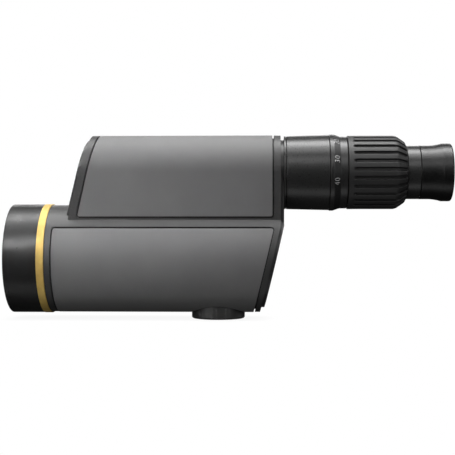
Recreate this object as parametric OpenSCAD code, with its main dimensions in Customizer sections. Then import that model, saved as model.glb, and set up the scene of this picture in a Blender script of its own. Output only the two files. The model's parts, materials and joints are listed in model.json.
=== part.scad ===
// Zoom spotting scope with a folded light path, rubber armour and two grip panels.
// +X points to the eyepiece, +Z is up, and the origin is the mouth of the tripod thread.
// Light enters at -X, runs back to the rear mirror, forward to the front mirror and back to
// the eyepiece, whose tube holds an erecting zoom system.

/* [Body] */
// Height of the objective axis above the foot's underside
obj_z = 43.2; // [42.8:0.1:44]
// Height of the eyepiece axis
eye_z = 105.4; // [104.8:0.1:106]
// Outside radius of the armour round the lower barrel
barrel_r = 38.75; // [38.5:0.05:39]
// Half the width of the upper housing, over the armour
upper_hw = 26.9; // [26.7:0.05:27.1]
// Thickness of the rubber armour
armour_t = 2.05; // [1.9:0.05:2.1]
// Wall of the cast housing
wall = 2.4; // [2.2:0.1:2.6]
// Lean of the front and rear faces, which is also the tilt of the mirrors
tilt = 13.3; // [13.1:0.1:13.5]
// Armour's front face on the eyepiece axis
front_face_x = -97.2; // [-97.6:0.1:-96.8]
// Armour's upright rear face
rear_face_x = 45.0; // [44.8:0.1:45.2]
// Armour's leaning rear face on the objective axis
rear_slope_x = 39.3; // [39.1:0.1:39.5]
// Front end of the armour on the barrel
collar_x = -120.3; // [-121:0.1:-119]

/* [Covers] */
// How far the end covers stand proud of the armour
cover_proud = 2.3; // [2.1:0.1:2.4]
// Wall of an end cover
cover_wall = 2.0; // [1.8:0.1:2]
// Inset of a cover's outline from the armour's outline
cover_inset = 3.4; // [3.3:0.05:3.45]
// Gap between a cover's edge and the armour
cover_gap = 0.4; // [0.3:0.05:0.45]

/* [Grip panels] */
// How far the grip panels stand proud of the armour
panel_proud = 0.35; // [0.3:0.05:0.45]
// Groove between a panel and the armour
panel_gap = 0.8; // [0.7:0.05:0.9]
// Corner radius of a panel
panel_corner = 1.5; // [1:0.5:3]
// Distance from the leaning rear face to the lower panel
panel_margin = 4.3; // [4:0.1:4.6]
// Distance from the leaning front face to the upper panel's lower front corner
panel_front_low = 5.6; // [5:0.1:6]
// The same distance at the top of the panel
panel_front_top = 4.8; // [4.5:0.1:5.5]
// Front edge of the lower panel
lower_panel_x = -115.2; // [-115.6:0.1:-114.4]
// Top edge of the lower panel
lower_panel_z = 65.4; // [65:0.1:65.8]
// Bottom edge of the upper panel
upper_panel_z = 73.2; // [72.8:0.1:74]
// Rear edge of the upper panel
upper_panel_x = 39.4; // [39:0.1:40]

/* [Objective] */
// Front rim of the objective bell
bell_x = -149.2; // [-150:0.1:-148]
// Radius of the objective bell
bell_r = 39.3; // [39.25:0.05:39.4]
// Front edge of the trim ring
trim_x = -125.6; // [-126:0.1:-125]
// Radius of the trim ring
trim_r = 39.5; // [39.4:0.05:39.6]
// Radius of the objective lenses
obj_lens_r = 31.5; // [31.2:0.05:31.5]

/* [Foot] */
// Radius of the tripod foot
foot_r = 19.2; // [18.5:0.1:19.5]
// Wall radius of the tripod thread, a quarter inch
thread_r = 2.6; // [2.5:0.05:2.7]
// Depth of the tripod thread
thread_depth = 8.5; // [7:0.1:9]

/* [Focus] */
// Focus knob's place along the body
knob_x = 8; // [6:0.5:10]
// Focus knob's outside radius
knob_r = 16.2; // [15:0.1:16.4]
// Outer face of the focus knob
knob_y = 42; // [40:0.5:44]
// Teeth on the focus pinion
pinion_teeth = 14; // [14:1:15]
// Gear module of the rack and pinion
gear_module = 0.6; // [0.6:0.01:0.62]

/* [Eyepiece] */
// Front radius of the eyepiece tube
tube_front_r = 26.5; // [26.2:0.05:26.8]
// Rear radius of the eyepiece tube
tube_rear_r = 27.2; // [27:0.05:27.4]
// Rear end of the fixed eyepiece tube
tube_end_x = 79.6; // [79.4:0.1:79.6]
// Radius of the number ring's rim
rim_r = 27.6; // [27.4:0.05:27.8]
// Radius of the zoom grip
grip_r = 26.5; // [26.2:0.05:26.8]
// Flutes on the zoom grip
flutes = 27; // [24:1:30]
// Width of a flute
flute_w = 2.3; // [2:0.1:2.6]
// Depth of a flute
flute_d = 1.1; // [0.8:0.1:1.3]
// Radius of the neck behind the grip
neck_r = 19.25; // [19:0.05:19.4]
// Rim radius of the eyecup
eyecup_r = 20.85; // [20.6:0.05:21.2]
// Rear end of the eyecup
eyecup_end_x = 167.2; // [166.5:0.1:168]

/* [Zoom] */
// Turn of the zoom ring from lowest to highest power
zoom_turn = 105; // [95:1:110]
// Travel of the front zoom cell for each radian of turn
front_lead = 8; // [7:0.5:8]
// Travel of the rear zoom cell for each radian of turn
rear_lead = 4; // [3:0.5:5]

/* [Hidden] */
$fn = 96;

// Fits: a free running fit, and the gap between pieces that are fixed together.
run = 0.06;
snug = 0.05;
// Depth below the armour's face at which the housing's rims and the gaskets lie.
rim_inset = 2.6;
gasket_t = 0.6;
// Sections of the housing inside the armour.
shell_r = barrel_r - armour_t - snug;
shell_hw = upper_hw - armour_t - snug;
bore_r = shell_r - wall;
bore_hw = shell_hw - wall;
// Outlines of the end covers.
cover_r = barrel_r - cover_inset;
cover_hw = upper_hw - cover_inset;
cover_rim = 1.35;
// Joint between the barrel, the objective cell and the bell.
spigot_end_x = trim_x - 6.2;
cell_flange_t = 1.55;
cell_front_x = spigot_end_x - cell_flange_t - snug;
cell_r = bore_r - snug;
cell_bore_r = obj_lens_r + 0.1;
cell_lip_r = obj_lens_r - 1.6;
crown_front_x = cell_front_x + 3.1;
crown_t = 9;
crown_front_curve = 240;
crown_rear_curve = 180;
flint_t = 7.5;
flint_curve = 190;
flint_x = crown_front_x + crown_t + 0.8;
// Mirrors: their faces are spaced so that the fold drops by the distance between the axes.
mirror_t = 3.5;
plate_t = 2;
rear_mirror_x = 33;
front_mirror_x = rear_mirror_x - (eye_z - obj_z) / tan(2 * tilt);
rear_mirror_r = 22.5;
rear_plate_r = 26;
front_mirror_r = 14;
front_plate_r = 17.2;
// Cover screws: place of each as [across, up] from the axis of the cover's section.
rear_screws = [[24.2, 20.3], [-24.2, 20.3], [24.2, -20.3], [-24.2, -20.3]];
front_screws = [[12.9, 15.3], [-12.9, 15.3], [19.6, -17], [-19.6, -17]];
screw_r = 1.25;
screw_head_r = 2.5;
screw_head_h = 1.3;
foot_screw_x = 12.5;
insert_r = 4.5;
// Rack and pinion.
pitch_r = gear_module * pinion_teeth / 2;
tooth_pitch = PI * gear_module;
gear_addendum = 0.9 * gear_module;
gear_dedendum = 1.2 * gear_module;
pressure = 20;
backlash = 0.12;
pinion_y = 12.2;
pinion_w = 5;
rack_z = 92.75;
knob_z = rack_z - pitch_r - 0.05;
shaft_r = 3;
pinion_bore_r = 2;
bush_r = 7;
carriage_x = -8;
rod_r = 1.5;
rod_a = [14.6, 98.6];
rod_b = [-15.4, eye_z];
// Eyepiece, front to back.
flange_x = rear_face_x + cover_proud;
groove_x = flange_x + 1.5;
tube_x = groove_x + 0.4;
tube_bore_r = 23.5;
guide_r = 15.5;
guide_bore_r = 13.6;
guide_end_x = 137.4;
sleeve_bore_r = guide_r + run;
sleeve_r = 17.6;
cell_len = 10;
front_pin_x = 75;
rear_pin_x = 101;
pin_r = 1.5;
ring_x = tube_end_x + 0.2;
cone_x = ring_x + 2.8;
band_x = cone_x + 4.7;
grip_x = 92.8;
grip_cone_x = 127.4;
grip_end_x = 135;
neck_x = grip_end_x + 0.2;
eyecup_x = 144.5;

// ---- Shared shapes ----

function unit(v) = v / norm(v);

// Points of an arc that rounds corner b between a and c by radius r.
function corner_arc(a, b, c, r, n = 6) =
    let (u = unit(a - b), v = unit(c - b))
    let (half = acos(u * v) / 2)
    let (centre = b + unit(u + v) * r / sin(half))
    let (first = b + u * r / tan(half) - centre)
    let (turn = (u[0] * v[1] - u[1] * v[0] < 0) ? 1 : -1)
    let (start = atan2(first[1], first[0]))
    [for (i = [0:n])
        let (t = start + turn * i * (180 - 2 * half) / n)
        centre + r * [cos(t), sin(t)]];

// A convex outline with every corner rounded.
function rounded(p, r) = [
    for (i = [0:len(p) - 1])
        each corner_arc(p[(i + len(p) - 1) % len(p)], p[i], p[(i + 1) % len(p)], r)
];

// Places of the leaning faces, sunk by an inset measured square to the face.
function front_x(z, inset) = front_face_x + inset / cos(tilt) + (z - eye_z) * tan(tilt);
function rear_x(z, inset) = rear_slope_x - inset / cos(tilt) + (z - obj_z) * tan(tilt);
function knee_z(inset) =
    obj_z + (rear_face_x - inset - rear_x(obj_z, inset)) / tan(tilt);

// Flat shape in the YZ plane, drawn out along X.
module prism_x(x0, x1) {
    translate([x0, 0, 0]) rotate([90, 0, 90]) linear_extrude(x1 - x0) children();
}

// Flat shape in the XZ plane, drawn out across the whole body.
module prism_y(width = 120) {
    rotate([90, 0, 0]) linear_extrude(width, center = true) children();
}

// Upper housing's section: flat sides under a round top.
module upper_section(half_w) {
    translate([0, eye_z]) circle(r = half_w);
    translate([-half_w, obj_z]) square([2 * half_w, eye_z - obj_z]);
}

// Solid of revolution about an axis along X, from [radius, x] points.
module turned(axis_z, points) {
    translate([0, 0, axis_z]) rotate([0, 90, 0]) rotate_extrude() polygon(points);
}

// Solid of revolution about the focus knob's axis, from [radius, y] points.
module turned_knob(points) {
    translate([knob_x, 0, knob_z]) rotate([-90, 0, 0]) rotate_extrude() polygon(points);
}

module ring_x(axis_z, x0, x1, r_out, r_in) {
    turned(axis_z, [[r_in, x0], [r_out, x0], [r_out, x1], [r_in, x1]]);
}

// Round bar along X.
module bar_x(axis, x0, x1, r) {
    translate([x0, axis[0], axis[1]]) rotate([0, 90, 0]) cylinder(r = r, h = x1 - x0);
}

module seal_ring(axis_z, x, mid_r, cord_r) {
    translate([x, 0, axis_z]) rotate([0, 90, 0]) rotate_extrude()
        translate([mid_r, 0]) circle(r = cord_r, $fn = 32);
}

// How far a spherical face falls back from its vertex at radius r.
function sag(curve, r) = curve - sqrt(curve * curve - r * r);

// Lens with both faces bulging, between its two vertices on the axis.
module bulging_lens(axis_z, x0, x1, r, front_curve, rear_curve) {
    translate([0, 0, axis_z]) rotate([0, 90, 0]) rotate_extrude() intersection() {
        translate([0, x0]) square([r, x1 - x0]);
        translate([0, x0 + front_curve]) circle(r = front_curve, $fn = 256);
        translate([0, x1 - rear_curve]) circle(r = rear_curve, $fn = 256);
    }
}

// Lens with a hollow front face and a flat rear face.
module hollow_lens(axis_z, x0, x1, r, curve) {
    translate([0, 0, axis_z]) rotate([0, 90, 0]) rotate_extrude() difference() {
        translate([0, x0]) square([r, x1 - x0]);
        translate([0, x0 + sag(curve, r) - curve]) circle(r = curve, $fn = 256);
    }
}

// Everything in front of the rear faces.
module behind_cut(inset) {
    prism_y() polygon([
        [-250, -20], [rear_x(-20, inset), -20], [rear_face_x - inset, knee_z(inset)],
        [rear_face_x - inset, 160], [-250, 160],
    ]);
}

// Solid with the outline of the body, its end faces sunk by an inset.
module body_block(r, half_w, inset, front) {
    intersection() {
        prism_x(front, 60) translate([0, obj_z]) circle(r = r);
        behind_cut(inset);
    }
    intersection() {
        prism_x(-125, 60) upper_section(half_w);
        prism_y() polygon([
            [front_x(20, inset), 20], [rear_x(20, inset), 20],
            [rear_face_x - inset, knee_z(inset)], [rear_face_x - inset, 160],
            [front_x(160, inset), 160],
        ]);
    }
}

// Layer of the body between two depths below its rear faces.
module rear_layer(r, half_w, outer, inner) {
    intersection() {
        prism_x(0, 60) {
            translate([0, obj_z]) circle(r = r);
            upper_section(half_w);
        }
        prism_y() polygon([
            [rear_x(-20, outer), -20], [rear_face_x - outer, knee_z(outer)],
            [rear_face_x - outer, 160], [rear_face_x - inner, 160],
            [rear_face_x - inner, knee_z(inner)], [rear_x(-20, inner), -20],
        ]);
    }
}

// Layer between two depths below the front face, ending just above the barrel.
module front_layer(half_w, outer, inner, clear) {
    difference() {
        intersection() {
            prism_x(-125, -60) upper_section(half_w);
            prism_y() polygon([
                [front_x(50, outer), 50], [front_x(50, inner), 50],
                [front_x(160, inner), 160], [front_x(160, outer), 160],
            ]);
        }
        prism_x(-130, -50) translate([0, obj_z]) circle(r = barrel_r + clear);
    }
}

// Places something below a leaning face by an inset, +Z pointing out of the face.
module on_rear_slope(place, inset) {
    z = obj_z + place[1];
    translate([rear_x(z, 0), place[0], z]) rotate([0, 90 + tilt, 0])
        translate([0, 0, -inset]) children();
}

module on_front_slope(place, inset) {
    z = eye_z + place[1];
    translate([front_x(z, 0), place[0], z]) rotate([0, tilt - 90, 0])
        translate([0, 0, -inset]) children();
}

// Socket screw with its head's top at the origin and its shank down -Z.
module socket_screw(head_radius, head_h, shank_r, length) {
    difference() {
        union() {
            translate([0, 0, -head_h]) cylinder(r = head_radius, h = head_h);
            translate([0, 0, -length]) cylinder(r = shank_r, h = length - head_h / 2);
        }
        translate([0, 0, -head_h * 0.65])
            cylinder(r = head_radius * 0.5, h = head_h, $fn = 6);
    }
}

module upper_panel_outline(grow) {
    top = 170;
    polygon(rounded([
        [front_x(upper_panel_z, panel_front_low) - grow, upper_panel_z - grow],
        [upper_panel_x + grow, upper_panel_z - grow],
        [upper_panel_x + grow, top],
        [front_x(top, panel_front_top) - grow, top],
    ], panel_corner + grow));
}

module lower_panel_outline(grow) {
    low = -30;
    polygon(rounded([
        [lower_panel_x - grow, low],
        [rear_x(low, panel_margin) + grow, low],
        [rear_x(lower_panel_z, panel_margin) + grow, lower_panel_z + grow],
        [lower_panel_x - grow, lower_panel_z + grow],
    ], panel_corner + grow));
}

// ---- Body ----

module main_housing() {
    sill_z = 84;
    rear_boss = 11;
    rear_boss_r = [4.9, 2.7];
    front_boss = 12;
    front_boss_r = [4.2, 5];
    pillar_r = 1.9;
    pillar_foot = 3;
    pillar_h = pillar_foot + cover_proud - cover_wall - snug;
    color("dimgray") difference() {
        union() {
            difference() {
                body_block(shell_r, shell_hw, rim_inset, spigot_end_x);
                prism_x(-140, 60) translate([0, obj_z]) circle(r = bore_r);
                // Upper chamber, open to the barrel below and through both end faces.
                intersection() {
                    prism_x(-125, 60) upper_section(bore_hw);
                    prism_y() polygon([
                        [front_x(50, rim_inset + wall), 50], [60, 50], [60, 160],
                        [front_x(160, -5), 160], [front_x(sill_z, -5), sill_z],
                        [front_x(sill_z, rim_inset + wall), sill_z],
                    ]);
                }
            }
            // Bosses that take the screws of the end covers, each under a slim pillar.
            // A boss is wide enough to merge with the wall beside it all along its length.
            // Each pair of radii is for the places below and above the end face's middle.
            for (place = rear_screws) {
                on_rear_slope(place, rear_boss)
                    cylinder(r = rear_boss_r[(place[1] > 0) ? 1 : 0], h = rear_boss - rim_inset);
                on_rear_slope(place, pillar_foot) cylinder(r = pillar_r, h = pillar_h);
            }
            for (place = front_screws) {
                on_front_slope(place, front_boss)
                    cylinder(r = front_boss_r[(place[1] > 0) ? 1 : 0], h = front_boss - rim_inset);
                on_front_slope(place, pillar_foot) cylinder(r = pillar_r, h = pillar_h);
            }
            for (side = [-1, 1])
                translate([side * foot_screw_x, 0, obj_z - shell_r + 1.5])
                    cylinder(r = 4, h = 4.5);
        }
        for (place = rear_screws)
            on_rear_slope(place, 9) cylinder(r = screw_r + snug, h = 15);
        for (place = front_screws)
            on_front_slope(place, 9) cylinder(r = screw_r + snug, h = 15);
        for (side = [-1, 1])
            translate([side * foot_screw_x, 0, 2]) cylinder(r = 1.55, h = 9);
        translate([0, 0, 2]) cylinder(r = insert_r + snug, h = 12);
        translate([knob_x, 15, knob_z]) rotate([-90, 0, 0])
            cylinder(r = bush_r + snug, h = 15);
    }
}

module armour_frame() {
    color("#2b2b2c") difference() {
        body_block(barrel_r, upper_hw, 0, collar_x);
        body_block(shell_r + snug, shell_hw + snug, rim_inset - snug, -150);
        rear_layer(cover_r + cover_gap, cover_hw + cover_gap, -1, rim_inset + 1);
        front_layer(cover_hw + cover_gap, -1, rim_inset + 1, 0);
        prism_y() upper_panel_outline(panel_gap);
        prism_y() lower_panel_outline(panel_gap);
    }
}

module upper_grip_panel() {
    color("#6b6b6b") difference() {
        intersection() {
            prism_x(-110, 50) upper_section(upper_hw + panel_proud);
            prism_y() upper_panel_outline(0);
        }
        prism_x(-120, 60) upper_section(shell_hw + 2 * snug);
        translate([knob_x, 15, knob_z]) rotate([-90, 0, 0])
            cylinder(r = bush_r + 0.5, h = 20);
    }
}

module lower_grip_panel() {
    color("#6b6b6b") difference() {
        intersection() {
            prism_x(-118, 50) translate([0, obj_z]) circle(r = barrel_r + panel_proud);
            prism_y() lower_panel_outline(0);
        }
        prism_x(-120, 60) translate([0, obj_z]) circle(r = shell_r + 2 * snug);
        translate([0, 0, -5]) cylinder(r = foot_r + 0.4, h = 20);
    }
}

module front_cover() {
    color("#3a3a3b") difference() {
        front_layer(cover_hw, -cover_proud, rim_inset - gasket_t, 0.3);
        front_layer(cover_hw - cover_rim, cover_wall - cover_proud, rim_inset + 1, 2);
        for (place = front_screws) {
            on_front_slope(place, 3) cylinder(r = screw_r + 0.1, h = 10);
            on_front_slope(place, screw_head_h - cover_proud)
                cylinder(r = screw_head_r + 0.1, h = 5);
        }
    }
}

module front_cover_gasket() {
    color("#151515") difference() {
        front_layer(cover_hw - snug, rim_inset - gasket_t + snug, rim_inset - snug, 0.3);
        front_layer(bore_hw + 0.1, 0, rim_inset + 1, 2);
    }
}

module front_cover_screws() {
    color("silver") for (place = front_screws)
        on_front_slope(place, -cover_proud)
            socket_screw(screw_head_r, screw_head_h, screw_r, 9);
}

module rear_cover() {
    color("#3a3a3b") difference() {
        rear_layer(cover_r, cover_hw, -cover_proud, rim_inset - gasket_t);
        rear_layer(cover_r - cover_rim, cover_hw - cover_rim,
            cover_wall - cover_proud, rim_inset + 1);
        for (place = rear_screws) {
            on_rear_slope(place, 3) cylinder(r = screw_r + 0.1, h = 10);
            on_rear_slope(place, screw_head_h - cover_proud)
                cylinder(r = screw_head_r + 0.1, h = 5);
        }
        bar_x([0, eye_z], 40, 50, 19);
        bar_x([0, 73], 40, 50, 1.8);
        bar_x([0, 73], flange_x - 1, 50, 3);
    }
}

module rear_cover_gasket() {
    color("#151515") difference() {
        rear_layer(cover_r - snug, cover_hw - snug, rim_inset - gasket_t + snug,
            rim_inset - snug);
        rear_layer(bore_r + 0.1, bore_hw + 0.1, 0, rim_inset + 1);
    }
}

module rear_cover_screws() {
    color("silver") for (place = rear_screws)
        on_rear_slope(place, -cover_proud)
            socket_screw(screw_head_r, screw_head_h, screw_r, 10);
}

module purge_screw() {
    color("silver") translate([flange_x, 0, 73]) rotate([0, 90, 0])
        socket_screw(2.9, 0.95, 1.75, 4.2);
}

// ---- Objective ----

module objective_bell() {
    lip_x = cell_front_x - snug;
    color("#1d1d1e") turned(obj_z, [
        [bell_r, trim_x - snug], [bell_r, bell_x + 0.8], [bell_r - 0.25, bell_x + 0.25],
        [bell_r - 0.8, bell_x], [bell_r - 1.7, bell_x], [bell_r - 2.2, bell_x + 0.6],
        [bell_r - 3.1, lip_x - 3], [34.6, lip_x - 1.3], [34.6, lip_x],
        [shell_r + snug, lip_x], [shell_r + snug, trim_x - snug],
    ]);
}

module trim_ring() {
    color("gold") turned(obj_z, [
        [shell_r + snug, trim_x], [trim_r - 0.25, trim_x], [trim_r, trim_x + 0.25],
        [trim_r, collar_x - 0.3], [trim_r - 0.25, collar_x - snug],
        [shell_r + snug, collar_x - snug],
    ]);
}

module objective_cell() {
    seat_x = flint_x + flint_t + snug;
    groove = crown_front_x + 6.2;
    color("#202020") turned(obj_z, [
        [cell_bore_r, cell_front_x], [shell_r - snug, cell_front_x],
        [shell_r - snug, spigot_end_x - snug], [cell_r, spigot_end_x - snug],
        [cell_r, groove], [cell_r - 1.35, groove], [cell_r - 1.35, groove + 2],
        [cell_r, groove + 2], [cell_r, seat_x + 1.5], [cell_lip_r, seat_x + 1.5],
        [cell_lip_r, seat_x], [cell_bore_r, seat_x],
    ]);
}

module objective_seal() {
    color("#101010") seal_ring(obj_z, crown_front_x + 7.2, cell_r - 0.66, 0.64);
}

module objective_crown_lens() {
    color("lightblue") bulging_lens(obj_z, crown_front_x, crown_front_x + crown_t,
        obj_lens_r, crown_front_curve, crown_rear_curve);
}

module objective_spacer() {
    spacer_bore_r = cell_lip_r + 0.6;
    front = crown_front_x + crown_t - sag(crown_rear_curve, spacer_bore_r) + snug;
    color("#202020") ring_x(obj_z, front, flint_x - snug, obj_lens_r, spacer_bore_r);
}

module objective_flint_lens() {
    color("lightblue") hollow_lens(obj_z, flint_x, flint_x + flint_t, obj_lens_r,
        flint_curve);
}

module objective_retaining_ring() {
    rear = crown_front_x + sag(crown_front_curve, cell_lip_r) - snug;
    color("#202020") ring_x(obj_z, cell_front_x + 1.2, rear, cell_bore_r - snug, cell_lip_r);
}

module barrel_baffle() {
    color("#101010") ring_x(obj_z, -104, -102, bore_r - snug, 29.5);
}

// ---- Mirrors ----

module at_rear_mirror(depth) {
    translate([rear_mirror_x, 0, obj_z]) rotate([0, 90 + tilt, 0])
        translate([0, 0, depth]) children();
}

module at_front_mirror(depth) {
    translate([front_mirror_x, 0, eye_z]) rotate([0, tilt - 90, 0])
        translate([0, 0, depth]) children();
}

// Plate behind a mirror, with holes for its three adjusting screws.
module mirror_plate(r, screw_ring) {
    difference() {
        cylinder(r = r, h = plate_t);
        for (a = [0, 120, 240])
            rotate([0, 0, a]) translate([screw_ring, 0, -1]) cylinder(r = 1.05, h = 5);
    }
}

module mirror_screws(screw_ring) {
    for (a = [0, 120, 240])
        rotate([0, 0, a]) translate([screw_ring, 0, mirror_t - 1]) {
            cylinder(r = 1.4, h = 1);
            cylinder(r = 1, h = 3.6);
        }
}

module rear_mirror() {
    color("silver") at_rear_mirror(0) cylinder(r = rear_mirror_r, h = mirror_t - 0.02);
}

module rear_mirror_plate() {
    color("#404040") at_rear_mirror(mirror_t)
        mirror_plate(rear_plate_r, rear_mirror_r + 1.7);
}

module rear_mirror_screws() {
    color("silver") at_rear_mirror(0) mirror_screws(rear_mirror_r + 1.7);
}

module front_mirror() {
    color("silver") at_front_mirror(0) cylinder(r = front_mirror_r, h = mirror_t - 0.02);
}

module front_mirror_plate() {
    color("#404040") at_front_mirror(mirror_t)
        mirror_plate(front_plate_r, front_mirror_r + 1.7);
}

module front_mirror_screws() {
    color("silver") at_front_mirror(0) mirror_screws(front_mirror_r + 1.7);
}

// ---- Foot ----

module tripod_foot() {
    edge = 1.4;
    color("#1a1a1a") difference() {
        rotate_extrude() polygon([
            [0, 0], [foot_r - edge, 0],
            for (a = [-75:15:-15]) [foot_r - edge + edge * cos(a), edge + edge * sin(a)],
            [foot_r, edge], [foot_r, 13], [0, 13],
        ]);
        prism_x(-40, 40) translate([0, obj_z]) circle(r = shell_r + snug);
        translate([0, 0, -1]) cylinder(r = insert_r + snug, h = 12);
        for (side = [-1, 1]) translate([side * foot_screw_x, 0, -1]) {
            cylinder(r = 1.6, h = 12);
            cylinder(r = 3, h = 4.2);
        }
    }
}

module threaded_insert() {
    flange_z = 9.8;
    color("silver") difference() {
        union() {
            cylinder(r = insert_r, h = flange_z + 1);
            translate([0, 0, flange_z]) cylinder(r = 7, h = 2);
        }
        translate([0, 0, -1]) cylinder(r = thread_r, h = thread_depth + 1);
    }
}

module foot_screws() {
    color("silver") for (side = [-1, 1])
        translate([side * foot_screw_x, 0, 1.2]) rotate([180, 0, 0])
            socket_screw(2.8, 1.9, 1.5, 9.4);
}

// ---- Focus ----

function involute(r, base) =
    let (t = sqrt(max(0, pow(r / base, 2) - 1)))
    t * 180 / PI - atan(t);

module focus_pinion() {
    base = pitch_r * cos(pressure);
    tip = pitch_r + gear_addendum;
    root = pitch_r - gear_dedendum;
    half = (tooth_pitch - backlash) / 4 / pitch_r * 180 / PI + involute(pitch_r, base);
    radii = [base, (base + pitch_r) / 2, pitch_r, (pitch_r + tip) / 2, tip];
    flank = concat([[root, half]], [for (r = radii) [r, half - involute(r, base)]]);
    last = len(flank) - 1;
    tooth = concat(
        [for (p = flank) [p[0], -p[1]]],
        [for (i = [last:-1:0]) flank[i]]
    );
    color("goldenrod") translate([knob_x, pinion_y, knob_z]) rotate([-90, 0, 0])
        linear_extrude(pinion_w) difference() {
            polygon([for (k = [0:pinion_teeth - 1]) for (p = tooth)
                let (a = 90 + k * 360 / pinion_teeth + p[1])
                p[0] * [cos(a), sin(a)]]);
            circle(r = pinion_bore_r + 0.02);
        }
}

// Rack with its teeth down, phased so that a gap sits over the pinion at rest.
module rack() {
    first = -3;
    count = 14;
    body = 3;
    half = (tooth_pitch - backlash) / 4;
    low = half - gear_addendum * tan(pressure);
    high = half + gear_dedendum * tan(pressure);
    end_x = knob_x + (first + count) * tooth_pitch;
    teeth = [for (k = [first:first + count - 1])
        let (x = knob_x + (k + 0.5) * tooth_pitch)
        each [
            [x - high, rack_z + gear_dedendum], [x - low, rack_z - gear_addendum],
            [x + low, rack_z - gear_addendum], [x + high, rack_z + gear_dedendum],
        ]];
    translate([0, pinion_y + pinion_w - 0.3, 0]) rotate([90, 0, 0])
        linear_extrude(pinion_w - 0.6) polygon(concat(
            [[carriage_x, rack_z + body]], [[carriage_x, rack_z + gear_dedendum]],
            teeth, [[end_x, rack_z + gear_dedendum]], [[end_x, rack_z + body]]
        ));
}

module focus_carriage() {
    lens_bore_r = 11.5;
    color("#303030") difference() {
        union() {
            bar_x([0, eye_z], carriage_x, carriage_x + 8, 13);
            bar_x(rod_a, carriage_x, carriage_x + 22, 3.4);
            bar_x(rod_b, carriage_x, carriage_x + 8, 3.4);
            rack();
        }
        bar_x([0, eye_z], carriage_x - 1, carriage_x + 6.5, lens_bore_r);
        bar_x([0, eye_z], carriage_x, carriage_x + 10, 10);
        bar_x(rod_a, carriage_x - 1, carriage_x + 30, rod_r + run);
        bar_x(rod_b, carriage_x - 1, carriage_x + 10, rod_r + run);
    }
}

module focus_lens() {
    color("lightblue") hollow_lens(eye_z, carriage_x + 2.5, carriage_x + 6.4, 11.4, 60);
}

module focus_lens_ring() {
    color("#202020") ring_x(eye_z, carriage_x + 0.4, carriage_x + 2.4, 11.4, 10);
}

module focus_guide_rods() {
    color("silver") for (rod = [rod_a, rod_b]) bar_x(rod, -28, 39, rod_r);
}

module focus_rod_brackets() {
    color("#404040") for (x = [-28, 36]) difference() {
        intersection() {
            prism_x(x, x + 3) upper_section(bore_hw - snug);
            translate([x, -30, 90]) cube([3, 60, 60]);
        }
        bar_x([0, eye_z], x - 1, x + 4, 12.2);
        for (rod = [rod_a, rod_b]) bar_x(rod, x - 1, x + 4, rod_r + 0.02);
    }
}

module focus_bush() {
    inner = bore_hw - snug;
    outer = upper_hw + panel_proud + 0.9;
    groove = inner + 2.2;
    color("goldenrod") turned_knob([
        [shaft_r + run, inner - 2], [9, inner - 2], [9, inner], [bush_r, inner],
        [bush_r, outer], [shaft_r + run, outer], [shaft_r + run, groove + 2],
        [shaft_r + 1.7, groove + 2], [shaft_r + 1.7, groove], [shaft_r + run, groove],
    ]);
}

module focus_shaft_seal() {
    color("#101010") translate([knob_x, bore_hw - snug + 3.2, knob_z])
        rotate([-90, 0, 0]) rotate_extrude()
            translate([shaft_r + 0.88, 0]) circle(r = 0.78, $fn = 32);
}

module focus_shaft() {
    shoulder = pinion_y + pinion_w + 0.5;
    color("silver") turned_knob([
        [0, pinion_y - 1], [pinion_bore_r, pinion_y - 1], [pinion_bore_r, shoulder],
        [shaft_r, shoulder], [shaft_r, knob_y - 4], [0, knob_y - 4],
    ]);
}

module focus_knob() {
    hub = upper_hw + panel_proud + 1.3;
    core = knob_r - 2.6;
    color("#2b2b2c") turned_knob([
        [shaft_r + 0.02, hub], [core + 1.2, hub], [core + 1.2, hub + 1.4],
        [core, hub + 1.4], [core, knob_y - 1.6], [core + 0.9, knob_y - 1.6],
        [core + 0.9, knob_y - 0.7], [core, knob_y], [10.5, knob_y], [9.9, knob_y - 0.6],
        [0, knob_y - 0.6], [0, knob_y - 3.9], [shaft_r + 0.02, knob_y - 3.9],
    ]);
}

module focus_knob_grip() {
    core = knob_r - 2.6 + snug;
    front = upper_hw + panel_proud + 2.75;
    back = knob_y - 1.65;
    ribs = 24;
    color("#1a1a1a") difference() {
        turned_knob([
            [core, front], [knob_r - 0.5, front], [knob_r, front + 0.5],
            [knob_r, back - 0.9], [knob_r - 0.9, back], [core, back],
        ]);
        for (k = [0:ribs - 1])
            translate([knob_x, front - 1, knob_z]) rotate([-90, k * 360 / ribs, 0])
                translate([knob_r + 0.3, 0, 0]) cylinder(r = 1.1, h = 20, $fn = 24);
    }
}

// ---- Eyepiece ----

module eyepiece_base_ring() {
    socket = tube_bore_r - snug;
    color("#1d1d1e") turned(eye_z, [
        [guide_r + 0.1, flange_x - 4.4], [18.95, flange_x - 4.4], [18.95, flange_x],
        [tube_front_r - 0.4, flange_x], [tube_front_r - 0.1, flange_x + 0.3],
        [tube_front_r - 0.1, groove_x - 0.2], [tube_front_r - 0.3, groove_x],
        [tube_front_r - 0.6, groove_x], [tube_front_r - 0.6, tube_x - 0.02],
        [socket, tube_x - 0.02], [socket, tube_x + 5], [socket - 2.4, tube_x + 5],
        [socket - 2.4, tube_x], [guide_r + 0.1, tube_x],
    ]);
}

module eyepiece_lock_nut() {
    color("#303030") difference() {
        ring_x(eye_z, flange_x - 4.2, flange_x - cover_wall - snug, 21.6, 19);
        for (a = [0:90:270])
            translate([flange_x - 6, 0, eye_z]) rotate([a, 0, 0])
                translate([0, 20.2, -1.2]) cube([3, 3, 2.4]);
    }
}

module eyepiece_tube() {
    color("#1d1d1e") turned(eye_z, [
        [tube_bore_r, tube_x], [tube_front_r - 0.3, tube_x], [tube_front_r, tube_x + 0.3],
        [tube_rear_r, tube_end_x - 0.3], [tube_rear_r - 0.3, tube_end_x],
        [tube_bore_r, tube_end_x],
    ]);
}

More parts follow.
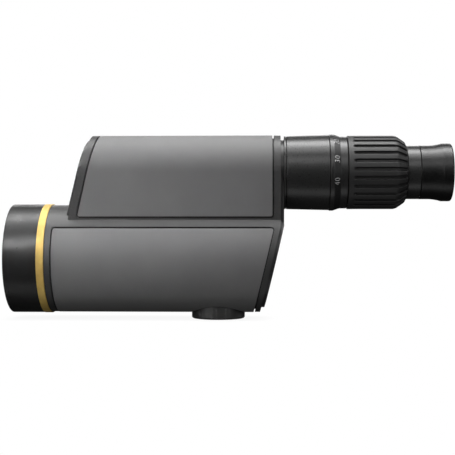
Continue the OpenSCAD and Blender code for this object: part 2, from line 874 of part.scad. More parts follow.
// Fixed tube that the cells slide in, with one straight slot for each cam pin.
module zoom_guide_tube() {
    margin = pin_r + 0.6;
    front_travel = front_lead * zoom_turn * PI / 180;
    rear_travel = rear_lead * zoom_turn * PI / 180;
    slot_w = 2 * pin_r + 0.12;
    color("silver") difference() {
        turned(eye_z, [
            [guide_bore_r, flange_x - 6.2], [17.5, flange_x - 6.2],
            [17.5, flange_x - 4.45], [guide_r, flange_x - 4.45],
            [guide_r, guide_end_x], [guide_bore_r, guide_end_x],
        ]);
        translate([front_pin_x - front_travel - margin, -slot_w / 2, eye_z + 10])
            cube([front_travel + 2 * margin, slot_w, 10]);
        translate([rear_pin_x - rear_travel - margin, -slot_w / 2, eye_z - 20])
            cube([rear_travel + 2 * margin, slot_w, 10]);
    }
}

// Slanting slot round the cam sleeve, cut as short straight runs that follow a helix.
module cam_slot(pin_x, start_angle, lead) {
    runs = 10;
    mid_r = (sleeve_bore_r + sleeve_r) / 2;
    slot_w = 2 * pin_r + 0.5;
    step = zoom_turn / runs;
    run_length = norm([lead, mid_r]) * step * PI / 180;
    for (i = [0:runs])
        translate([pin_x - lead * i * step * PI / 180, 0, eye_z])
            rotate([start_angle + i * step, 0, 0]) translate([0, mid_r, 0])
                rotate([0, -atan(lead / mid_r), 0])
                    cube([slot_w, 6, run_length + 2 * pin_r], center = true);
}

module zoom_cam_sleeve() {
    color("goldenrod") difference() {
        ring_x(eye_z, 54.6, 118, sleeve_r, sleeve_bore_r);
        cam_slot(front_pin_x, 90, front_lead);
        cam_slot(rear_pin_x, 270, rear_lead);
        for (a = [30, 150, 270])
            translate([band_x - 0.3, 0, eye_z]) rotate([a, 0, 0])
                translate([0, 10, 0]) rotate([-90, 0, 0]) cylinder(r = 1.22, h = 10);
    }
}

module zoom_ring() {
    inner = 21.4;
    groove = ring_x - 3.8;
    color("#1d1d1e") difference() {
        turned(eye_z, [
            [inner, ring_x - 5.8], [tube_bore_r - run, ring_x - 5.8],
            [tube_bore_r - run, groove], [tube_bore_r - 1.25, groove],
            [tube_bore_r - 1.25, groove + 1.8], [tube_bore_r - run, groove + 1.8],
            [tube_bore_r - run, ring_x], [rim_r - 0.3, ring_x], [rim_r, ring_x + 0.3],
            [rim_r, cone_x], [rim_r - 1.6, band_x], [rim_r - 1.6, grip_x - 0.9],
            [rim_r - 2, grip_x - 0.5], [23.5, grip_x - 0.5], [23.5, 126], [19, 131.9],
            [19, 133.2], [sleeve_bore_r, 133.2], [sleeve_bore_r, 129.5], [inner, 129.5],
            [inner, 90], [sleeve_r + snug, 90], [sleeve_r + snug, 84], [inner, 84],
        ]);
        for (a = [30, 150, 270])
            translate([band_x - 0.3, 0, eye_z]) rotate([a, 0, 0])
                translate([0, 17, 0]) rotate([-90, 0, 0]) cylinder(r = 1.22, h = 5.6);
    }
}

module zoom_ring_screws() {
    color("silver") for (a = [30, 150, 270])
        translate([band_x - 0.3, 0, eye_z]) rotate([a, 0, 0])
            translate([0, 16.2, 0]) rotate([-90, 0, 0]) cylinder(r = 1.2, h = 6);
}

module zoom_ring_seal() {
    color("#101010") seal_ring(eye_z, ring_x - 2.9, tube_bore_r - 0.66, 0.56);
}

module zoom_grip() {
    color("#1a1a1a") difference() {
        turned(eye_z, [
            [23.55, grip_x], [grip_r - 0.5, grip_x], [grip_r, grip_x + 0.5],
            [grip_r, grip_cone_x], [22.2, 133.6], [21.6, 134.4], [20.6, 134.9],
            [19.6, grip_end_x], [17, grip_end_x], [17, 133.3], [19.05, 133.3],
            [19.05, 131.95], [23.55, 126.05],
        ]);
        // Flutes, each following the barrel of the grip and then its rear cone.
        for (k = [0:flutes - 1])
            translate([0, 0, eye_z]) rotate([(k + 0.5) * 360 / flutes - 4, 0, 0])
                rotate([90, 0, 0]) linear_extrude(flute_w, center = true) polygon([
                    [grip_x + 4.6, grip_r - flute_d], [grip_cone_x - 0.4, grip_r - flute_d],
                    [134.4, 20.6], [137, 20.6], [137, 30], [grip_x + 4.6, 30],
                ]);
    }
}

// Cell that slides in the guide tube, carrying one lens.
module sliding_cell(pin_x, pin_side) {
    x0 = pin_x - cell_len / 2;
    difference() {
        turned(eye_z, [
            [9.8, x0], [guide_bore_r - run, x0], [guide_bore_r - run, x0 + cell_len],
            [11.4, x0 + cell_len], [11.4, x0 + 1.2], [9.8, x0 + 1.2],
        ]);
        translate([pin_x, 0, eye_z]) rotate([pin_side, 0, 0]) translate([0, 10, 0])
            rotate([-90, 0, 0]) cylinder(r = pin_r + 0.02, h = 10);
    }
}

module cam_pin(pin_x, pin_side) {
    translate([pin_x, 0, eye_z]) rotate([pin_side, 0, 0]) translate([0, 11.9, 0])
        rotate([-90, 0, 0]) cylinder(r = pin_r, h = sleeve_r - 12.1);
}

module front_zoom_cell() {
    color("#303030") sliding_cell(front_pin_x, 90);
}

module front_zoom_lens() {
    x0 = front_pin_x - cell_len / 2 + 1.3;
    color("lightblue") bulging_lens(eye_z, x0 - 0.8, x0 + 6.5, 11.3, 60, 60);
}

module front_cam_pin() {
    color("silver") cam_pin(front_pin_x, 90);
}

module rear_zoom_cell() {
    color("#303030") sliding_cell(rear_pin_x, 270);
}

module rear_zoom_lens() {
    x0 = rear_pin_x - cell_len / 2 + 1.3;
    color("lightblue") bulging_lens(eye_z, x0 - 0.8, x0 + 6.5, 11.3, 60, 60);
}

module rear_cam_pin() {
    color("silver") cam_pin(rear_pin_x, 270);
}

module field_stop() {
    color("#101010") ring_x(eye_z, 110, 112, guide_bore_r - snug, 8.5);
}

// Sleeve that holds the two eyepiece lenses, with a spacer and a retaining ring in it.
module ocular_cell() {
    color("#202020") {
        turned(eye_z, [
            [11, 116], [guide_bore_r - snug, 116], [guide_bore_r - snug, 152],
            [12.4, 152], [12.4, 117.5], [11, 117.5],
        ]);
        ring_x(eye_z, 123.1, 140.5, 12.35, 11.3);
        ring_x(eye_z, 146.2, 150, 12.35, 10.8);
    }
}

module ocular_lenses() {
    color("lightblue") {
        bulging_lens(eye_z, 116.9, 123.8, 12.3, 70, 70);
        bulging_lens(eye_z, 139.5, 147, 12.3, 60, 60);
    }
}

module eyepiece_neck() {
    color("#1d1d1e") turned(eye_z, [
        [guide_r + snug, neck_x], [neck_r - 0.2, neck_x], [neck_r, neck_x + 0.2],
        [neck_r, eyecup_x - 0.5], [neck_r - 0.3, eyecup_x - 0.2], [16.5, eyecup_x - 0.2],
        [16.5, 155.5], [guide_bore_r, 155.5], [guide_bore_r, guide_end_x + 0.1],
        [guide_r + snug, guide_end_x + 0.1],
    ]);
}

module eyecup() {
    rim_x = 159.9;
    end = eyecup_end_x;
    // The flare runs from the sleeve to the rim along half a cosine wave.
    flare = [for (i = [0:8])
        [19.35 + (eyecup_r - 19.35) * (1 - cos(i * 22.5)) / 2, 151.5 + (rim_x - 151.5) * i / 8]];
    color("#1a1a1a") turned(eye_z, concat(
        [[16.55, eyecup_x], [19.1, eyecup_x], [19.35, eyecup_x + 0.3]],
        flare,
        [[eyecup_r, end - 1.4], [eyecup_r - 0.4, end - 0.4], [eyecup_r - 1.3, end],
        [eyecup_r - 1.9, end - 0.3], [18.4, end - 2], [17.1, 158.2], [15, 157.2],
        [15, 155.6], [16.55, 155.6]]
    ));
}

main_housing();
armour_frame();
upper_grip_panel();
lower_grip_panel();
front_cover();
front_cover_gasket();
front_cover_screws();
rear_cover();
rear_cover_gasket();
rear_cover_screws();
purge_screw();
objective_bell();
trim_ring();
objective_cell();
objective_seal();
objective_crown_lens();
objective_spacer();
objective_flint_lens();
objective_retaining_ring();
barrel_baffle();
rear_mirror();
rear_mirror_plate();
rear_mirror_screws();
front_mirror();
front_mirror_plate();
front_mirror_screws();
tripod_foot();
threaded_insert();
foot_screws();
focus_bush();
focus_shaft_seal();
focus_shaft();
focus_pinion();
focus_knob();
focus_knob_grip();
focus_rod_brackets();
focus_guide_rods();
focus_carriage();
focus_lens();
focus_lens_ring();
eyepiece_base_ring();
eyepiece_lock_nut();
eyepiece_tube();
zoom_guide_tube();
zoom_cam_sleeve();
zoom_ring();
zoom_ring_screws();
zoom_ring_seal();
zoom_grip();
front_zoom_cell();
front_zoom_lens();
front_cam_pin();
rear_zoom_cell();
rear_zoom_lens();
rear_cam_pin();
field_stop();
ocular_cell();
ocular_lenses();
eyepiece_neck();
eyecup();
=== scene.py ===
import json
import math

import bmesh
import bpy
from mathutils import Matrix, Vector

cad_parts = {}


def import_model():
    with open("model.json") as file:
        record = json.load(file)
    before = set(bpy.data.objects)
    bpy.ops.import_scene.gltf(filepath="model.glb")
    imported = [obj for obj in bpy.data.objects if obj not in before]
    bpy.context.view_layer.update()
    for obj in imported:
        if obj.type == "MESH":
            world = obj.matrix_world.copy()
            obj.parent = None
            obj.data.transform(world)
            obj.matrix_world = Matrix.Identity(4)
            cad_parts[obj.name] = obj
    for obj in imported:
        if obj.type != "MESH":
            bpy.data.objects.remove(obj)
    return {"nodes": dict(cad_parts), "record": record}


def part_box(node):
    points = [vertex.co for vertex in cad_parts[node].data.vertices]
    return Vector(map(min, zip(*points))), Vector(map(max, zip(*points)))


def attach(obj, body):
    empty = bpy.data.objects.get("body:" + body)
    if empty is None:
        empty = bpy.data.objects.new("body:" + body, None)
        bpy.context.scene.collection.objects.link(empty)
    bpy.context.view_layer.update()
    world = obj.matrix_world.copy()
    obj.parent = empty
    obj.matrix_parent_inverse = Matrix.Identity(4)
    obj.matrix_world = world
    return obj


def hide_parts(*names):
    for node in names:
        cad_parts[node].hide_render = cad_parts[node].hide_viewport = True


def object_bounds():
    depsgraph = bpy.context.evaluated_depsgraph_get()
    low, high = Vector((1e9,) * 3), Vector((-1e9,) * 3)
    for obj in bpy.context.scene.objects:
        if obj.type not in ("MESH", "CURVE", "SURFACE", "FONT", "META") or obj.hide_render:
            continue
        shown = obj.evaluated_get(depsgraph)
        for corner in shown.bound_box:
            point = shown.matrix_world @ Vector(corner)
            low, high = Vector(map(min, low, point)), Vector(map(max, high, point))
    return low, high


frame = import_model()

# Looks of the spotting scope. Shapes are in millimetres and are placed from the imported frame's
# boxes; the last step of each mesh turns millimetres into metres.
MM = 0.001
TURN = 2 * math.pi
SEGMENTS = 180
CAD_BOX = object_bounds()
RECORD = frame["record"]
SLOT_OF = {part["node"]: part["material_slot"] for part in RECORD["subparts"]}
BODY_OF = {n: body for body, nodes in RECORD["behaviour"]["bodies"].items() for n in nodes}


# ---- Places taken from the frame ----


def box_mm(node):
    """Lowest and highest corner of a CAD node, in millimetres."""
    low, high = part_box(node)
    return low / MM, high / MM


def ends(node):
    """Front and rear ends of a CAD node along X."""
    low, high = box_mm(node)
    return low.x, high.x


def outside_radius(node):
    """Radius of a CAD node that is turned about an axis along X."""
    low, high = box_mm(node)
    return (high.z - low.z) / 2


class Axis:
    """A turning axis: a point on it, the way it runs, and the directions of 0 and 90 degrees."""

    def __init__(self, origin, along, zero, quarter):
        self.origin = Vector(origin)
        self.along = Vector(along)
        self.zero = Vector(zero)
        self.quarter = Vector(quarter)

    def point(self, distance, radius, angle):
        across = self.zero * math.cos(angle) + self.quarter * math.sin(angle)
        return (self.origin + self.along * distance + across * radius) * MM


def axis_along_x(node):
    """Axis of a node turned about X. Its angles start at the viewer's side and rise."""
    low, high = box_mm(node)
    return Axis((0, 0, (low.z + high.z) / 2), (1, 0, 0), (0, -1, 0), (0, 0, 1))


def axis_along_y(node):
    """Axis of a node turned about Y."""
    low, high = box_mm(node)
    middle = (low + high) / 2
    return Axis((middle.x, 0, middle.z), (0, 1, 0), (1, 0, 0), (0, 0, 1))


OBJECTIVE_AXIS = axis_along_x("objective_bell")
EYEPIECE_AXIS = axis_along_x("eyecup")
KNOB_AXIS = axis_along_y("focus_knob")


# ---- Meshes ----


def mesh_object(name, vertices, faces):
    """An object in the scene from points in metres, with shared corners joined and faces outward."""
    mesh = bpy.data.meshes.new(name)
    mesh.from_pydata([tuple(v) for v in vertices], [], faces)
    shape = bmesh.new()
    shape.from_mesh(mesh)
    bmesh.ops.remove_doubles(shape, verts=shape.verts, dist=1e-7)
    bmesh.ops.recalc_face_normals(shape, faces=shape.faces)
    for face in shape.faces:
        face.smooth = True
    shape.to_mesh(mesh)
    shape.free()
    piece = bpy.data.objects.new(name, mesh)
    bpy.context.scene.collection.objects.link(piece)
    return piece


def weight_normals(piece):
    """Lets broad faces set the shading, so that flats stay flat between rounded edges."""
    modifier = piece.modifiers.new("shading", "WEIGHTED_NORMAL")
    modifier.keep_sharp = True
    modifier.weight = 80


def softened(corners, steps=5):
    """Closed outline from (x, radius, reach) corners, each rounded from its reach along both edges."""
    outline = []
    for index, (x, radius, reach) in enumerate(corners):
        here = Vector((x, radius))
        if reach == 0:
            outline.append(here)
            continue
        back = Vector(corners[index - 1][:2]) - here
        ahead = Vector(corners[(index + 1) % len(corners)][:2]) - here
        start = here + back.normalized() * min(reach, back.length * 0.48)
        end = here + ahead.normalized() * min(reach, ahead.length * 0.48)
        for step in range(steps + 1):
            t = step / steps
            outline.append(start * (1 - t) ** 2 + here * 2 * t * (1 - t) + end * t ** 2)
    return outline


def ring_faces(columns, rows):
    """Faces of a grid that closes on itself both ways, its points stored column by column."""
    faces = []
    for column in range(columns):
        after = (column + 1) % columns
        for row in range(rows):
            above = (row + 1) % rows
            faces.append((column * rows + row, column * rows + above,
                          after * rows + above, after * rows + row))
    return faces


def lathe(name, axis, corners, segments=SEGMENTS):
    """A closed solid of revolution from a closed outline of (x, radius, reach) corners."""
    outline = softened(corners)
    vertices = [axis.point(x, radius, TURN * column / segments)
                for column in range(segments) for x, radius in outline]
    piece = mesh_object(name, vertices, ring_faces(segments, len(outline)))
    weight_normals(piece)
    return piece


def smoothstep(value):
    value = min(1.0, max(0.0, value))
    return value * value * (3 - 2 * value)


def fluted_ring(name, axis, outline, count, width, start, floor, turn=0.0):
    """A turned ring with rounded flutes that begin with a round end at start.

    floor(x) is the radius at the bottom of a flute. Grid lines follow the flutes' edges.
    """
    across = [-1.35, -1.15, -1.02, -0.9, -0.75, -0.5, -0.2, 0.2, 0.5, 0.75, 0.9, 1.02, 1.15, 1.35]
    land_steps = 5
    half = width / 2
    vertices = []
    for flute in range(count):
        middle = TURN * (flute + 0.5) / count + turn
        for share in across + list(range(1, land_steps)):
            on_land = isinstance(share, int)
            for x, radius in outline:
                edge = across[-1] * half / radius
                if on_land:
                    angle = edge + (TURN / count - 2 * edge) * share / land_steps
                    depth = 0.0
                else:
                    angle = share * half / radius
                    beyond = max(0.0, start + half - x)
                    away = math.hypot(beyond, share * half) / half
                    depth = max(0.0, radius - floor(x)) * smoothstep((1.12 - away) / 0.32)
                vertices.append(axis.point(x, radius - depth, middle + angle))
    columns = count * (len(across) + land_steps - 1)
    piece = mesh_object(name, vertices, ring_faces(columns, len(outline)))
    weight_normals(piece)
    return piece


def spaced(outline, longest):
    """The same closed outline with its long edges cut up."""
    cut = []
    for index, here in enumerate(outline):
        ahead = outline[(index + 1) % len(outline)]
        pieces = max(1, math.ceil((ahead - here).length / longest))
        cut += [here.lerp(ahead, step / pieces) for step in range(pieces)]
    return cut


def stand_for(piece, *nodes):
    """Puts the piece in place of CAD nodes: on their body, in their slot, with their finish."""
    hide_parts(*nodes)
    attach(piece, BODY_OF[nodes[0]])
    piece.data.materials.clear()
    piece.data.materials.append(FINISHES[SLOT_OF[nodes[0]]])
    return piece


# ---- Node materials ----


class Graph:
    """One material's nodes, with its textures measured in millimetres on the object."""

    def __init__(self, name):
        self.material = bpy.data.materials.new(name)
        self.material.use_nodes = True
        self.tree = self.material.node_tree
        self.tree.nodes.clear()
        self.place = self.add("TexCoord").outputs["Object"]

    def add(self, kind, inputs=None, **settings):
        node = self.tree.nodes.new("ShaderNode" + kind)
        for key, value in settings.items():
            setattr(node, key, value)
        for key, value in (inputs or {}).items():
            if isinstance(value, bpy.types.NodeSocket):
                self.tree.links.new(value, node.inputs[key])
            else:
                node.inputs[key].default_value = value
        return node

    def noise(self, size_mm, detail=2.0, place=None):
        inputs = {"Vector": place or self.place, "Scale": 1 / (size_mm * MM), "Detail": detail}
        return self.add("TexNoise", inputs).outputs[0]

    def cells(self, size_mm):
        inputs = {"Vector": self.place, "Scale": 1 / (size_mm * MM)}
        return self.add("TexVoronoi", inputs, feature="SMOOTH_F1").outputs["Distance"]

    def ranged(self, value, low, high, start=0.3, end=0.7):
        inputs = {0: value, 1: start, 2: end, 3: low, 4: high}
        return self.add("MapRange", inputs).outputs[0]

    def math(self, operation, first, second=0.0):
        return self.add("Math", {0: first, 1: second}, operation=operation).outputs[0]

    def colour(self, factor, first, second):
        inputs = {0: factor, 6: (*first, 1)}
        inputs[7] = second if isinstance(second, bpy.types.NodeSocket) else (*second, 1)
        return self.add("Mix", inputs, data_type="RGBA").outputs[2]

    def bump(self, height, depth_mm, under=None):
        inputs = {"Height": height, "Distance": depth_mm * MM, "Strength": 1.0}
        if under is not None:
            inputs["Normal"] = under
        return self.add("Bump", inputs).outputs[0]

    def finish(self, shader):
        output = self.add("OutputMaterial")
        self.tree.links.new(shader, output.inputs["Surface"])
        return self.material


def grey(value, warmth=0.0):
    return (value * (1 + warmth), value, value * (1 - warmth))


def skin(name, tone, contrast, roughness, grain_mm, grain_depth, cloud=0.0, shade_mm=1.5, **shader):
    """Moulded, cast or coated skin: its tone and gloss wander, and a fine grain lifts it.

    Grooves and joins get painted shade: the colour darkens towards near-black within shade_mm of a
    neighbour.
    """
    g = Graph(name)
    drift = g.noise(22, 3)
    mottle = g.noise(grain_mm * 3, 2)
    blend = g.math("ADD", g.math("MULTIPLY", drift, 0.6), g.math("MULTIPLY", mottle, 0.4))
    dark = tuple(c * (1 - contrast) for c in tone)
    light = tuple(c * (1 + contrast) for c in tone)
    grain = g.math("ADD", g.noise(grain_mm, 2), g.math("MULTIPLY", g.cells(grain_mm * 1.6), 0.6))
    coat = g.colour(g.ranged(blend, 0, 1), dark, light)
    # painted shade: ambient occlusion within shade_mm darkens the colour in grooves and between parts
    shade_ao = g.add("AmbientOcclusion", {"Distance": shade_mm * MM}, samples=8).outputs["AO"]
    inputs = {
        "Base Color": g.colour(g.ranged(shade_ao, 0, 1, 0.45, 0.85), grey(0.002), coat),
        "Roughness": g.math("ADD", g.ranged(mottle, roughness - 0.05, roughness + 0.06),
                            g.ranged(g.noise(8, 3), -cloud, cloud)),
        "Normal": g.bump(grain, grain_depth, g.bump(g.noise(9, 2), 0.02)),
    }
    inputs.update({key.replace("_", " "): value for key, value in shader.items()})
    return g.finish(g.add("BsdfPrincipled", inputs).outputs[0])


def turned_metal(name, first, second, roughness, metallic, axis_mm=0.35):
    """Metal turned on a lathe: fine rings round its axis vary its gloss and its surface."""
    g = Graph(name)
    stretched = g.add("Mapping", {"Vector": g.place, "Scale": (1.0, 0.02, 0.02)}).outputs[0]
    rings = g.noise(axis_mm, 4, stretched)
    patches = g.noise(6, 3)
    inputs = {
        "Base Color": g.colour(g.ranged(patches, 0, 1), first, second),
        "Roughness": g.ranged(rings, roughness - 0.06, roughness + 0.1),
        "Metallic": metallic,
        "Normal": g.bump(rings, 0.012, g.bump(g.noise(0.8, 2), 0.004)),
    }
    return g.finish(g.add("BsdfPrincipled", inputs).outputs[0])


def coated_glass():
    """Optical glass: clear, with a coating that reflects green head-on and magenta at a slant."""
    g = Graph("coated_glass")
    facing = g.add("LayerWeight", {"Blend": 0.35}).outputs["Facing"]
    dust = g.noise(1.5, 4)
    tint = g.colour(facing, (0.25, 0.62, 0.42), (0.75, 0.42, 0.72))
    gloss_inputs = {
        "Color": tint,
        "Roughness": g.ranged(dust, 0.02, 0.07),
        "Normal": g.bump(g.noise(12, 1), 0.002),
    }
    gloss = g.add("BsdfGlossy", gloss_inputs).outputs[0]
    clear = g.add("BsdfTransparent", {"Color": (0.93, 0.96, 0.95, 1)}).outputs[0]
    share = g.ranged(facing, 0.07, 0.75, 0.0, 1.0)
    return g.finish(g.add("MixShader", {0: share, 1: clear, 2: gloss}).outputs[0])


def mirror_coating():
    g = Graph("mirror_coating")
    haze = g.noise(5, 3)
    inputs = {
        "Base Color": g.colour(haze, (0.86, 0.87, 0.9), (0.93, 0.93, 0.94)),
        "Metallic": 1.0,
        "Roughness": g.ranged(haze, 0.02, 0.06),
        "Normal": g.bump(g.noise(20, 1), 0.001),
    }
    return g.finish(g.add("BsdfPrincipled", inputs).outputs[0])


FINISHES = {
    "cast_housing": skin("cast_housing", grey(0.02), 0.15, 0.55, 0.5, 0.03),
    "armour_rubber": skin("armour_rubber", grey(0.035), 0.12, 0.48, 0.35, 0.02),
    "panel_rubber": skin("panel_rubber", grey(0.14), 0.06, 0.66, 0.3, 0.025),
    "cover_paint": skin("cover_paint", grey(0.03), 0.1, 0.4, 0.4, 0.012),
    "seal_rubber": skin("seal_rubber", grey(0.015), 0.15, 0.55, 0.3, 0.01),
    "screw_steel": turned_metal("screw_steel", grey(0.4), grey(0.52), 0.3, 1.0),
    "bell_black": skin("bell_black", grey(0.012), 0.25, 0.39, 0.45, 0.02, 0.1,
                       Specular_IOR_Level=0.36),
    "gold_anodised": turned_metal("gold_anodised", (0.62, 0.44, 0.12), (0.54, 0.36, 0.09), 0.5, 0.25),
    "lens_glass": coated_glass(),
    "mirror_coat": mirror_coating(),
    "internal_black": skin("internal_black", grey(0.02), 0.2, 0.6, 0.4, 0.015),
    "foot_black": skin("foot_black", grey(0.032), 0.15, 0.42, 0.35, 0.01),
    "eyepiece_black": skin("eyepiece_black", grey(0.024), 0.1, 0.31, 0.25, 0.0015),
    "grip_rubber": skin("grip_rubber", grey(0.024), 0.15, 0.5, 0.3, 0.012, shade_mm=3.5),
    "eyecup_rubber": skin("eyecup_rubber", grey(0.004), 0.2, 0.36, 0.4, 0.008),
    "knob_black": skin("knob_black", grey(0.024), 0.12, 0.4, 0.3, 0.01),
    "guide_alloy": turned_metal("guide_alloy", grey(0.5), grey(0.6), 0.32, 1.0),
    "bearing_brass": turned_metal("bearing_brass", (0.7, 0.48, 0.2), (0.6, 0.4, 0.16), 0.3, 1.0),
}


def print_white():
    """White paint of the dial's numbers, a little thin in places."""
    g = Graph("print_white")
    worn = g.noise(0.6, 3)
    inputs = {
        "Base Color": g.colour(g.ranged(worn, 0, 1), grey(0.55), grey(0.8)),
        "Roughness": g.ranged(worn, 0.4, 0.6),
        "Normal": g.bump(g.noise(0.3, 2), 0.005),
    }
    return g.finish(g.add("BsdfPrincipled", inputs).outputs[0])


def dial_black():
    """Flat black paint under the dial's numbers."""
    return skin("dial_black", grey(0.006), 0.2, 0.5, 0.25, 0.003)


# ---- Objective ----


def objective_bell():
    front, rear = ends("objective_bell")
    radius = outside_radius("objective_bell")
    lip = ends("objective_cell")[0] - 0.05
    spigot = outside_radius("objective_cell") + 0.1
    piece = lathe("bell_shell", OBJECTIVE_AXIS, [
        (rear, radius, 0.15), (front, radius, 0.9), (front, radius - 2.2, 0.7),
        (lip - 3, radius - 3.1, 0.8), (lip - 1.3, 34.6, 0.4), (lip, 34.6, 0),
        (lip, spigot, 0), (rear, spigot, 0),
    ])
    return stand_for(piece, "objective_bell")


def trim_ring():
    front, rear = ends("trim_ring")
    radius = outside_radius("trim_ring")
    bore = outside_radius("objective_cell") + 0.1
    piece = lathe("gold_trim_ring", OBJECTIVE_AXIS, [
        (front, bore, 0), (front, radius, 0.3), (rear, radius, 0.3), (rear, bore, 0),
    ])
    return stand_for(piece, "trim_ring")


def lens(name, axis, front, rear, radius, front_curve, rear_curve, node):
    """A lens with spherical faces between its two vertices on the axis."""
    rings = 14
    outline = []
    for ring in range(rings + 1):
        r = radius * ring / rings
        outline.append((front + front_curve - math.sqrt(front_curve ** 2 - r * r), r))
    for ring in range(rings, -1, -1):
        r = radius * ring / rings
        outline.append((rear - rear_curve + math.sqrt(rear_curve ** 2 - r * r), r))
    vertices = [axis.point(x, r, TURN * column / SEGMENTS)
                for column in range(SEGMENTS) for x, r in outline]
    piece = mesh_object(name, vertices, ring_faces(SEGMENTS, len(outline)))
    return stand_for(piece, node)


def objective_lens():
    front, rear = ends("objective_crown_lens")
    radius = outside_radius("objective_crown_lens")
    return lens("front_lens", OBJECTIVE_AXIS, front, rear, radius, 240, 180,
                "objective_crown_lens")


# ---- Eyepiece ----


def eyepiece_base_ring():
    front, rear = ends("eyepiece_base_ring")
    flange, groove = ends("rear_cover")[1], ends("eyepiece_tube")[0] - 0.4
    radius = outside_radius("eyepiece_base_ring")
    piece = lathe("eyepiece_collar", EYEPIECE_AXIS, [
        (front, 15.6, 0), (front, 18.95, 0.2), (flange, 18.95, 0), (flange, radius, 0.35),
        (groove, radius, 0.3), (groove, radius - 0.5, 0.1), (groove + 0.38, radius - 0.5, 0),
        (groove + 0.38, 23.45, 0), (rear, 23.45, 0.2), (rear, 21.05, 0.2),
        (groove + 0.4, 21.05, 0), (groove + 0.4, 15.6, 0),
    ])
    return stand_for(piece, "eyepiece_base_ring")


def eyepiece_tube():
    front, rear = ends("eyepiece_tube")
    radius = outside_radius("eyepiece_tube")
    piece = lathe("eyepiece_barrel", EYEPIECE_AXIS, [
        (front, 23.5, 0), (front, radius - 0.7, 0.4), (rear, radius, 0.4), (rear, 23.5, 0),
    ])
    return stand_for(piece, "eyepiece_tube")


def zoom_ring():
    """The number ring: a raised rim, the cone that carries the numbers, and a plain band."""
    front, rear = ends("zoom_ring")
    radius = outside_radius("zoom_ring")
    rim = ends("eyepiece_tube")[1] + 0.2
    band_end = ends("zoom_grip")[0] - 0.5
    band, under_grip, bore, rear_bore = radius - 1.6, 23.5, 21.4, 17.7
    cone_start, cone_end, step = 126, 131.9, 129.5
    piece = lathe("zoom_number_ring", EYEPIECE_AXIS, [
        (front, bore, 0), (front, 23.44, 0.2), (rim, 23.44, 0), (rim, radius, 0.5),
        (rim + 2.8, radius, 0.5), (rim + 7.5, band, 0.3), (band_end, band, 0.5),
        (band_end, under_grip, 0), (cone_start, under_grip, 0), (cone_end, 19, 0), (rear, 19, 0),
        (rear, rear_bore, 0), (step, rear_bore, 0), (step, bore, 0),
    ])
    stand_for(piece, "zoom_ring")
    paint_dial(piece, rim + 3.1, rim + 7.3)
    return piece


def paint_dial(piece, start, end):
    """Gives the dial's paint to the outward faces between two places along the axis."""
    piece.data.materials.append(DIAL)
    for face in piece.data.polygons:
        outward = face.normal.y ** 2 + face.normal.z ** 2 > 0.5
        if outward and start < face.center.x / MM < end:
            face.material_index = 1


def zoom_grip():
    """Rubber grip: flutes run back from a plain band and out over the rear cone."""
    front, rear = ends("zoom_grip")
    radius = outside_radius("zoom_grip")
    flutes, first_flute_degrees = 27, -4
    flute_start = front + 4.2
    cone, flute_depth, flute_width = rear - 7.6, 1.5, 2.5
    outline = spaced(softened([
        (front, 23.55, 0), (front, radius, 0.5), (cone, radius, 2.4),
        (rear - 1, 21.9, 0.9), (rear, 19.6, 0.6), (rear, 17, 0.2), (rear - 1.7, 17, 0),
        (rear - 1.7, 19.05, 0), (rear - 3.05, 19.05, 0), (rear - 8.95, 23.55, 0),
    ]), 0.9)

    def floor(x):
        slant = (radius - 21.9) / (rear - 1 - cone)
        fade = smoothstep((rear - 0.1 - x) / 0.8)
        return radius - max(0.0, x - cone) * slant - flute_depth * fade

    piece = fluted_ring("zoom_grip_rubber", EYEPIECE_AXIS, outline, flutes, flute_width,
                        flute_start, floor, math.radians(first_flute_degrees))
    return stand_for(piece, "zoom_grip")


def eyepiece_neck():
    front, rear = ends("eyepiece_neck")
    radius = outside_radius("eyepiece_neck")
    seam = ends("eyecup")[0] - 0.2
    piece = lathe("neck_sleeve", EYEPIECE_AXIS, [
        (front, 15.55, 0), (front, radius, 0.25), (seam, radius, 0.45), (seam, 16.5, 0),
        (rear, 16.5, 0.2), (rear, 13.6, 0.2), (front + 2.3, 13.6, 0), (front + 2.3, 15.55, 0),
    ])
    return stand_for(piece, "eyepiece_neck")


def eyecup():
    """Soft cup: a sleeve that flares to a plain rim, and a funnel inside for the eye."""
    front, rear = ends("eyecup")
    radius = outside_radius("eyecup")
    sleeve, flare_start, crease = radius - 1.5, front + 7, rear - 6.8
    flare = []
    steps = 9
    for step in range(1, steps):
        share = step / steps
        r = sleeve + (radius - 0.1 - sleeve) * share ** 1.7
        flare.append((flare_start + (crease - flare_start) * share, r, 0))
    piece = lathe("eyecup_rubber", EYEPIECE_AXIS, [
        (front, 16.55, 0), (front, sleeve, 0.45), (flare_start, sleeve, 1.5), *flare,
        (crease, radius, 0.35), (rear, radius, 1.5), (rear, radius - 1.6, 0.6),
        (rear - 2, 18.4, 0.6), (rear - 9, 17.1, 0.6), (rear - 10, 15, 0.3),
        (rear - 11.6, 15, 0), (rear - 11.6, 16.55, 0),
    ])
    return stand_for(piece, "eyecup")


